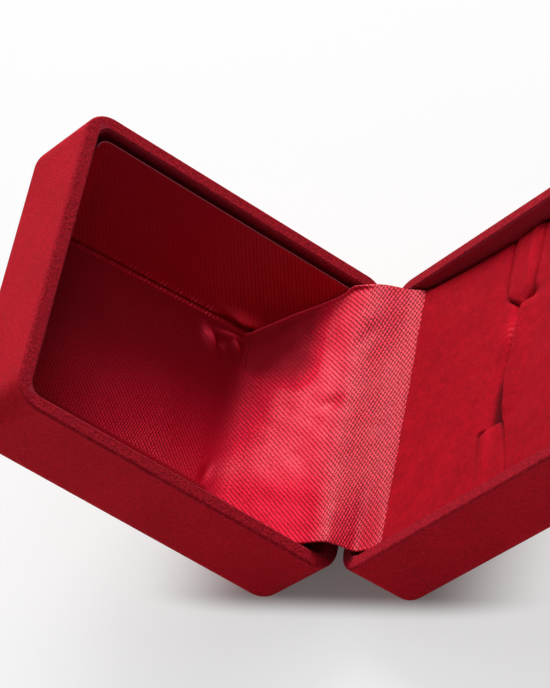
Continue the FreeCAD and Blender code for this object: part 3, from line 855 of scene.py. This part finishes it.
def build_lining(settings):
    """Padded ceiling and three leaning panels, drawn tight over card."""
    depth = settings.rib_depth
    # Lit and shaded copies of the satin: the ceiling's brighter, the panels' darker
    ceiling = satin("ceiling_satin", settings, settings.lining, settings.lining_shade, depth * 1.5)
    panel = satin("panel_satin", settings, settings.panel, settings.panel_shade, depth * 0.45)
    pale = card("card_edge", settings.edge, tuple(c * 0.75 for c in settings.edge))
    build_ceiling(settings, ceiling)
    build_side_panels(settings, panel, pale)
    build_front_panel(panel, pale)


def uneven(stops, spacings):
    """Positions from the first stop to the last, at each stretch's own spacing."""
    parts = [np.arange(a, b, step) for a, b, step in zip(stops, stops[1:], spacings)]
    return np.concatenate(parts + [[stops[-1]]])


def in_shade(u, v):
    """Painted shade on the ceiling and on the ramp's foot, where the lid's far wall and front wall cast their
    shadow.
    """
    front = 0.6 * (1 - smooth(v, -26, 10)) * smooth(u, 34, 60)
    return np.clip(front + 0.8 * smooth(v, -20, 6) * smooth(u, 12, 22), 0, 0.82)


def paint_threads(piece, crossing, painted_shade, painted_highlight):
    """What the satin reads: crossing threads, painted shade and painted highlights."""
    paint(piece, "crossing", crossing)
    paint(piece, "painted_shade", painted_shade)
    paint(piece, "painted_highlight", painted_highlight)


def finish_lining(node):
    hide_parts(node)


def build_ceiling(settings, cloth):
    x0, x1 = CEILING_LOW[0] + 0.05, CEILING_HIGH[0] - 0.05
    half = CEILING_HIGH[1] - 0.05
    low_z = CEILING_LOW[2] + 0.02
    reaches = uneven((x0, 16, 34, x1), (0.8, 0.2, 0.5))
    x, y = np.meshgrid(reaches, uneven((-half, 6, 19, half), (0.5, 0.2, 0.6)), indexing="ij")
    across = np.clip(abs(y) / 18, 0, 1)
    crown = 0.35 * (1 - across ** 2) * smooth(x, 27, 38) * (1 - smooth(x, x1 - 14, x1))
    flat = np.stack([x, y, 0 * x], 2)
    soft = ripple(flat.reshape(-1, 3), 0.10, 11).reshape(x.shape) * 0.9 * (1 - across ** 4)
    z = CEILING_HIGH[2] + crown + mounds(x, y, GATHERS) + soft * smooth(x, 26, 32)
    points, faces = grid_slab(np.stack([x, y, z], 2), np.stack([x, y, 0 * x + low_z], 2))
    shift = STRIP_START[0] - strip_run(settings)[1] + settings.ramp_end
    cloth_map = np.stack([shift - points[:, 0], points[:, 1]], 1)
    piece = new_piece("lid_ceiling_satin", in_lid(points), faces, cloth, "lid", uv=cloth_map)
    # Painted shade from in_shade, and painted highlights on the gathers' crests
    paint_threads(piece, smooth(points[:, 0], 24, 36) * 0.9, in_shade(points[:, 0], points[:, 1]),
                  over_skin(mounds(x, y, HIGHLIGHT_CRESTS)))
    finish_lining("lid_lining_ceiling")


def turned_end(x, radius, swing):
    """Round a panel's front end over towards the front panel: shift along, shift across and turn."""
    over = np.clip(x, 0, None)
    turn = np.minimum(over / radius, swing)
    return radius * np.sin(turn) - over, radius * (1 - np.cos(turn)), turn


def seam_gathers(settings, along, climb):
    """The far panel's seam: how far its satin stands in, how far it lifts, and the painted highlights on its
    puckers and puff.
    """
    run_in = smooth(along, 25.5, 28) * (1 - 0.75 * smooth(along, 36, 58))
    rungs = 0.5 + 0.5 * np.cos(2 * math.pi * (along + 0.35 * climb) / settings.pucker_pitch)
    rungs = rungs ** 1.5 * (0.65 + 0.35 * np.cos(along * 1.7))
    upper_row = np.exp(-((climb - 0.75) / 0.5) ** 2)
    lower_row = np.exp(-((climb + 0.75) / 0.45) ** 2)
    pucker = rungs * (upper_row + lower_row) * run_in
    groove = np.exp(-(climb / 0.22) ** 2) * smooth(along, 24, 27)
    puff = bump(along, climb, 22.6, 2.1, 3.6, 1.0) * (1 + 0.05 * np.cos(2 * math.pi * along / 1.1))
    crease = bump(along, climb, 22.5, 0.3, 4.0, 0.45)
    inward = 0.4 * pucker * (climb > 0) + 1.2 * puff - 0.8 * crease - 0.35 * groove
    lift = 0.35 * pucker * (climb <= 0) - 0.3 * groove
    return inward, lift, pucker + 0.9 * bump(along, climb, 22.2, 2.4, 3.4, 0.8)


def build_side_panels(settings, cloth, edge):
    """Leaning side panels; the far one is gathered where it meets the ceiling."""
    slant = math.hypot(PANEL_TOP - PANEL_FOOT, 10.5)
    along, climb = np.meshgrid(uneven((FAR_LOW[0], 17, 58, 64, 70), (0.5, 0.09, 0.2, 0.12)),
                               uneven((-PANEL_TOE, 3.0, slant), (0.1, 0.32)), indexing="ij")
    up = np.clip(climb / slant, 0, 1)
    tuck = np.clip(-climb, 0, None)
    belly = 0.25 * np.sin(math.pi * up) * (1 - smooth(along, 58, 64))
    roll = 0.22 * smooth(tuck, 0, 0.3) * (1 - smooth(tuck, PANEL_TOE - 0.3, PANEL_TOE))
    sink = 0.25 * smooth(tuck, PANEL_TOE - 0.5, PANEL_TOE)
    gathered = seam_gathers(settings, along, climb)
    for name, side, face, rise, (inward, lift, glint), node in (
            ("lid_panel_far_satin", 1, far_face, FAR_PANEL_RISE, gathered, "lid_lining_far"),
            ("lid_panel_near_satin", -1, near_face, -NEAR_PANEL_DROP, (0, 0, 0 * along), "lid_lining_near")):
        z = PANEL_FOOT + (PANEL_TOP + rise - PANEL_FOOT) * up
        bend = front_face(z) - PANEL_ROUND
        shift, shift_in, turn = turned_end(along - bend, PANEL_ROUND, math.radians(84))
        x = along + shift
        y = side * (face(np.minimum(x, bend), z) - shift_in - (belly + tuck + inward))
        upper = np.stack([x, y, z + roll + lift - sink], 2)
        out = PANEL_CLOTH * np.stack([np.sin(turn), side * np.cos(turn), 0 * turn], 2)
        out[..., 2] = -PANEL_CLOTH * smooth(tuck, 0, 0.4)
        points, faces = grid_slab(upper, upper + out)
        flat = np.stack([-along, climb + 17.0], 2).reshape(-1, 2)
        piece = new_piece(name, in_lid(points), faces, cloth, "lid", uv=np.concatenate([flat, flat]))
        # Painted shade on the panels, darker towards the lid's front
        paint_threads(piece, 0 * points[:, 0], 0.4 * smooth(points[:, 0], 16, 60), over_skin(glint))
        edge_faces(piece, edge)
        finish_lining(node)


def build_front_panel(cloth, edge):
    along, up = np.meshgrid(np.linspace(-1, 1, 120), np.linspace(0, 1, 40), indexing="ij")
    z = PANEL_FOOT + (PANEL_TOP - PANEL_FOOT - 0.6) * up
    x = front_face(z) - 0.2 * np.sin(math.pi * up) * (1 - along ** 2)
    reach = np.where(along > 0, far_face(front_face(z), z), near_face(x, z)) - 2.7
    y = reach * along
    upper = np.stack([x, y, z], 2)
    points, faces = grid_slab(upper, upper + (PANEL_CLOTH, 0, 0))
    flat = np.stack([-up * 14.0, y], 2).reshape(-1, 2)
    piece = new_piece("lid_panel_front_satin", in_lid(points), faces, cloth, "lid",
                      uv=np.concatenate([flat, flat]))
    plain = np.zeros(len(points))
    paint_threads(piece, plain, plain, plain)
    edge_faces(piece, edge)
    finish_lining("lid_lining_front")


def edge_faces(piece, material):
    """Give the faces along the top cut the card's own finish, flat shaded."""
    up = Vector(in_lid([(0, 0, 1)])[0] - in_lid([(0, 0, 0)])[0]).normalized()
    piece.data.materials.append(material)
    top = Vector(in_lid([(0, 0, PANEL_TOP)])[0]).dot(up)
    for face in piece.data.polygons:
        if top - 0.65 * MM < face.center.dot(up) and abs(face.normal.dot(up)) > 0.9:
            face.material_index = 1
            face.use_smooth = False


# ---- the strip over the hinge ----
# Side view about the axis, from the insert's edge to the ramp, for the near edge and the far one.
STRIP_START = (10.0, 3.3)
RAMP_LEVEL = 5.45
RAMP_TOP = ((-6.0, 5.6), (-9.5, 5.3), (-14.0, 5.3), (-17.0, 5.4))
STRIP_NEAR = (STRIP_START, (9.3, 3.9), (8.3, 4.25), (6.8, 4.0), (5.2, 3.5), (4.2, 3.3), (3.3, 3.5),
              (2.2, 4.4), (0.5, 5.6), (-0.8, 6.3), (-2.2, 6.35), (-3.8, 6.1)) + RAMP_TOP
STRIP_FAR = (STRIP_START, (9.2, 4.0), (8.0, 4.35), (6.8, 4.45), (5.4, 4.5), (4.4, 4.65), (3.4, 4.85),
             (2.2, 5.15), (0.5, 5.6), (-0.8, 5.9), (-2.2, 6.05), (-3.8, 6.0), (-6.0, 5.7)) + RAMP_TOP[1:]


def smooth_path(points, count):
    """Evenly spaced points on a smooth curve through the given ones, and the curve's length."""
    p = np.array(points, float)
    p = np.concatenate([2 * p[:1] - p[1:2], p, 2 * p[-1:] - p[-2:-1]])
    curve = []
    for k in range(1, len(p) - 2):
        for t in np.linspace(0, 1, 12, endpoint=False):
            a, b, c, d = p[k - 1:k + 3]
            curve.append(0.5 * ((2 * b) + (c - a) * t + (2 * a - 5 * b + 4 * c - d) * t ** 2
                                + (3 * b - a - 3 * c + d) * t ** 3))
    curve = np.array(curve + [p[-2]])
    run = np.concatenate([[0], np.cumsum(np.hypot(*np.diff(curve, axis=0).T))])
    even = np.linspace(0, run[-1], count)
    return np.stack([np.interp(even, run, curve[:, 0]), np.interp(even, run, curve[:, 1])], 1), run[-1]


def lid_side_view(reach, z):
    """From the lid's tray to the side view about the axis, and back."""
    c, s = math.cos(LID_LEAN), math.sin(LID_LEAN)
    return -reach * c + z * s, reach * s + z * c


def ramp_foot(settings, radius):
    """An arc turns the ramp to lie along the ceiling, where its end dips in."""
    top = CEILING_HIGH[2]
    crossing = (RAMP_LEVEL - top * math.cos(LID_LEAN)) / math.sin(LID_LEAN)
    start = lid_side_view(crossing, top)[0] + radius * math.tan(LID_LEAN / 2)
    arc = [(start - radius * math.sin(LID_LEAN * t), RAMP_LEVEL + radius * (1 - math.cos(LID_LEAN * t)))
           for t in (0.0, 0.25, 0.5, 0.75, 1.0)]
    end = settings.ramp_end
    return tuple(arc) + (lid_side_view(end - 1.5, top + 0.03), lid_side_view(end, top - 0.12))


def strip_run(settings):
    """The strip's near side view and its length."""
    return smooth_path(STRIP_NEAR + ramp_foot(settings, settings.ramp_radius), 260)


def strip_side_view(settings, across):
    """The strip before it sags: its side view at each place across, and its length."""
    near, length = strip_run(settings)
    middle, _ = smooth_path(STRIP_FAR + ramp_foot(settings, settings.ramp_radius), len(near))
    far, _ = smooth_path(STRIP_FAR + ramp_foot(settings, RAMP_RADIUS_FAR), len(near))
    off_near = smooth(across, -1.02, -0.45)[None, :, None]
    tight = smooth(across, 0.2, 0.95)[None, :, None]
    rest = middle[:, None, :] * (1 - tight) + far[:, None, :] * tight
    view = near[:, None, :] * (1 - off_near) + rest * off_near
    return view[..., 0], view[..., 1], length


def build_hinge_satin(settings):
    """Satin strip from the insert's edge over the hinge and down to the lid's ceiling."""
    wide = STRIP_HALF
    across = np.concatenate([np.linspace(-1, 0.97, 230), np.linspace(0.973, 1, 12)])
    x, z, length = strip_side_view(settings, across)
    reach, drop = lid_side_view(x, z)
    between_panels = smooth(-drop, 0.6, 2.4) * (x < 0)
    room = np.where(across[None, :] > 0, far_face(reach, drop), near_face(reach, drop)) - 0.25
    half = wide + (np.minimum(room, wide) - wide) * between_panels
    y = across[None, :] * half
    flat = np.stack([x, y, 0 * x], 2).reshape(-1, 3)
    billow = ripple(flat, 0.10, 21).reshape(x.shape) * 0.7 + ripple(flat, 0.28, 23).reshape(x.shape) * 0.25
    free = (1 - smooth(reach, 15, 20)) * (1 - smooth(x, 3.0, 7.0)) * (1 - 0.6 * smooth(abs(across), 0.9, 1.0))
    hem = 0.7 * bump(abs(y), 0 * y, half - 0.4, 0, 0.4, 1) * (across > 0) * smooth(-x, 0, 6)
    hem = hem + 0.7 * smooth(across, 0.5, 1) * bump(x, 0 * x, 1.2, 0, 4.2, 1)
    on_ceiling = smooth(reach, 18.5, 21.5)
    fold_x, fold_z = lid_side_view(0, mounds(reach, y, GATHERS) * on_ceiling)
    z = z + (billow - mounds(x, y, DIMPLES)) * free + hem * (1 - smooth(reach, 19, 22)) + fold_z
    x = x + fold_x
    slope = np.gradient(np.stack([x, z], 2), axis=0)
    normal = np.stack([-slope[..., 1], slope[..., 0]], 2)
    normal = normal / np.maximum(np.linalg.norm(normal, axis=2, keepdims=True), 1e-9)
    down = SHEET_THICK * normal * np.where(normal[..., 1].mean() < 0, 1, -1)
    lower = np.stack([x + down[..., 0], y, z + down[..., 1]], 2)
    points, faces = grid_slab(np.stack([x, y, z], 2), lower)
    run = np.linspace(0, length, len(x))[:, None] + 0 * x
    cloth_map = np.stack([(STRIP_START[0] - run) * (1 - 0.0035 * (y + 25)), y], 2).reshape(-1, 2)
    cloth = satin("hinge_satin", settings, settings.colour, settings.shade, settings.rib_depth)
    piece = new_piece("hinge_satin_cloth", at_axis(points), faces, cloth, None,
                      uv=np.concatenate([cloth_map, cloth_map]))
    # Painted shade on the strip where the lid's far wall shades the ramp, and a little on its near side
    shaded = np.maximum(in_shade(reach, y), 0.85 * smooth(y, 3, 11) * smooth(reach, 9, 12.5)) * (x < 0)
    shaded = np.maximum(shaded, 0.3 * smooth(-y, 8, 22) * smooth(-x, 1, 7))
    # Painted highlights along the ramp's far hem and on the fold crests
    on_hem = bump(abs(y), 0 * y, half - 0.4, 0, 0.42, 1) * (across > 0) * smooth(-x, 2, 8)
    painted_highlight = on_hem + mounds(reach, y, HIGHLIGHT_CRESTS) * on_ceiling
    paint_threads(piece, smooth(points[:, 0], -9, 0), np.concatenate([shaded.ravel(), shaded.ravel()]),
                  over_skin(painted_highlight))
    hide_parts("hinge_satin")
    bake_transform(piece)


# ---- the stage ----
# In metres. The camera's axes point right, up and back out of its view.
OVERHEAD_PLACE, OVERHEAD_SIZE = (0.05, 0.62, 1.3), (1.0, 1.0)
REFLECTOR_PLACE, REFLECTOR_SIZE = (-0.7, -1.3, 0.26), (1.5, 0.35)
CAMERA_PLACE = (0.169210, -0.343930, 0.502820)
CAMERA_AXES = ((0.953585, 0.177541, -0.243217), (0.001737, 0.804441, 0.594030),
               (0.301118, -0.566881, 0.766794))
FLOOR_SIZE = 3.0


def off_box(shade, where, aside):
    """Distance on the floor from the spine edges that the box stands on, where sideways counts less."""
    feet = []
    for node in ("base_shell", "lid_shell"):
        co = np.array([v.co for v in frame["nodes"][node].data.vertices]) / MM
        feet.append(co[co[:, 2] < co[:, 2].min() + 0.4])
    feet = np.concatenate(feet)
    low, high = feet.min(0), feet.max(0)
    gaps = []
    for axis, counts in ((0, aside), (1, 1.0)):
        near, far = low[axis], high[axis]
        place = shade.along(where, tuple(np.eye(3)[axis]))
        off = place.sum("ABSOLUTE", place - (near + far) / 2)
        gaps.append(off.sum("MAXIMUM", off - (far - near) / 2, 0.0) * counts)
    return (gaps[0] * gaps[0] + gaps[1] * gaps[1]) ** 0.5


def area_light(name, place, along, power, length, width):
    """A rectangular light facing the box, hidden from the camera, its length along a direction."""
    light = bpy.data.objects.new(name, bpy.data.lights.new(name, "AREA"))
    light.data.energy = power
    light.data.shape = "RECTANGLE"
    light.data.size = length
    light.data.size_y = width
    away = place.normalized()
    across = (along - along.dot(away) * away).normalized()
    turn = Matrix((across, away.cross(across), away)).transposed().to_4x4()
    light.matrix_world = Matrix.Translation(place) @ turn
    light.visible_camera = False
    bpy.context.scene.collection.objects.link(light)


def build_stage(settings):
    """Pale floor, one soft window light, even light all round, and the camera."""
    scene = bpy.context.scene
    scene.view_settings.view_transform = "Standard"
    bpy.ops.mesh.primitive_grid_add(x_subdivisions=2, y_subdivisions=2, size=FLOOR_SIZE)
    floor = bpy.context.object
    floor.name = "floor"
    shade = Shade("pale_floor")
    where = shade.millimetres()
    drift = shade.noise(where, 0.012)
    shade_of_floor = tuple(c * 0.985 for c in settings.floor)
    colour = shade.mix(drift, shade_of_floor, settings.floor)
    shade.set(Base_Color=colour, Roughness=0.8, Specular_IOR_Level=0.2)
    spread = off_box(shade, where, settings.lift_aside).step(settings.lift_start, settings.lift_end)
    lift = settings.lift_under + (settings.lift - settings.lift_under) * spread
    camera_ray = shade.node("ShaderNodeLightPath", out="Is Camera Ray")
    glossy_ray = shade.node("ShaderNodeLightPath", out="Is Glossy Ray")
    seen = camera_ray.sum("MAXIMUM", camera_ray, glossy_ray) * lift
    glow = shade.node("ShaderNodeEmission", None, {"Color": (1.0, 1.0, 1.0), "Strength": 1.0})
    lit = Sock(shade, shade.shader.outputs[0])
    white = shade.node("ShaderNodeMixShader", None, {0: seen, 1: lit, 2: glow})
    shade.feed(shade.output, {"Surface": white})
    floor.data.materials.append(shade.material)

    world = bpy.data.worlds.new("soft_room")
    world.use_nodes = True
    background = world.node_tree.nodes["Background"]
    background.inputs["Color"].default_value = (1.0, 1.0, 1.0, 1.0)
    background.inputs["Strength"].default_value = settings.ambient
    scene.world = world

    toward = Vector(settings.key_from).normalized()
    lid_way = Vector(in_lid([(-1, 0, 0)])[0] - in_lid([(0, 0, 0)])[0])
    area_light("window_light", toward * settings.key_distance * MM, lid_way, settings.key,
               settings.key_long * MM, settings.key_wide * MM)
    area_light("overhead_light", Vector(OVERHEAD_PLACE), Vector((1, 0, 0)), settings.top, *OVERHEAD_SIZE)
    area_light("low_reflector", Vector(REFLECTOR_PLACE), Vector((1, -0.5, 0)), settings.fill, *REFLECTOR_SIZE)

    camera = bpy.data.objects.new("camera", bpy.data.cameras.new("camera"))
    camera.data.lens = settings.lens
    camera.data.clip_start = 0.01
    camera.data.clip_end = 10.0
    camera.matrix_world = Matrix.Translation(CAMERA_PLACE) @ Matrix(CAMERA_AXES).transposed().to_4x4()
    scene.collection.objects.link(camera)
    scene.camera = camera


# ---- the add-on ----
GROUPS = (("ring_box_flock", FlockSettings), ("ring_box_velvet", VelvetSettings),
          ("ring_box_satin", SatinSettings), ("ring_box_hidden", HiddenSettings),
          ("ring_box_stage", StageSettings))
OPERATORS = (RINGBOX_OT_flock, RINGBOX_OT_insert, RINGBOX_OT_lining, RINGBOX_OT_hinge_satin,
             RINGBOX_OT_hinge, RINGBOX_OT_stage)


class RINGBOX_PT_panel(bpy.types.Panel):
    """Lists the pieces and their settings"""
    bl_idname = "RINGBOX_PT_panel"
    bl_label = "Ring Box"
    bl_space_type = "VIEW_3D"
    bl_region_type = "UI"
    bl_category = "Ring Box"

    def draw(self, context):
        for operator in OPERATORS:
            self.layout.operator(operator.bl_idname)
        for name, group in GROUPS:
            box = self.layout.box()
            for key in group.__annotations__:
                box.prop(getattr(context.scene, name), key)


def register():
    for name, group in GROUPS:
        bpy.utils.register_class(group)
        setattr(bpy.types.Scene, name, bpy.props.PointerProperty(type=group))
    for operator in OPERATORS:
        bpy.utils.register_class(operator)
    bpy.utils.register_class(RINGBOX_PT_panel)


def unregister():
    bpy.utils.unregister_class(RINGBOX_PT_panel)
    for operator in reversed(OPERATORS):
        bpy.utils.unregister_class(operator)
    for name, group in reversed(GROUPS):
        delattr(bpy.types.Scene, name)
        bpy.utils.unregister_class(group)


def main():
    register()
    bpy.ops.ring_box.flock()
    bpy.ops.ring_box.insert()
    bpy.ops.ring_box.lining()
    bpy.ops.ring_box.hinge_satin()
    bpy.ops.ring_box.hinge()
    bpy.ops.ring_box.stage()


if __name__ == "__main__":
    main()
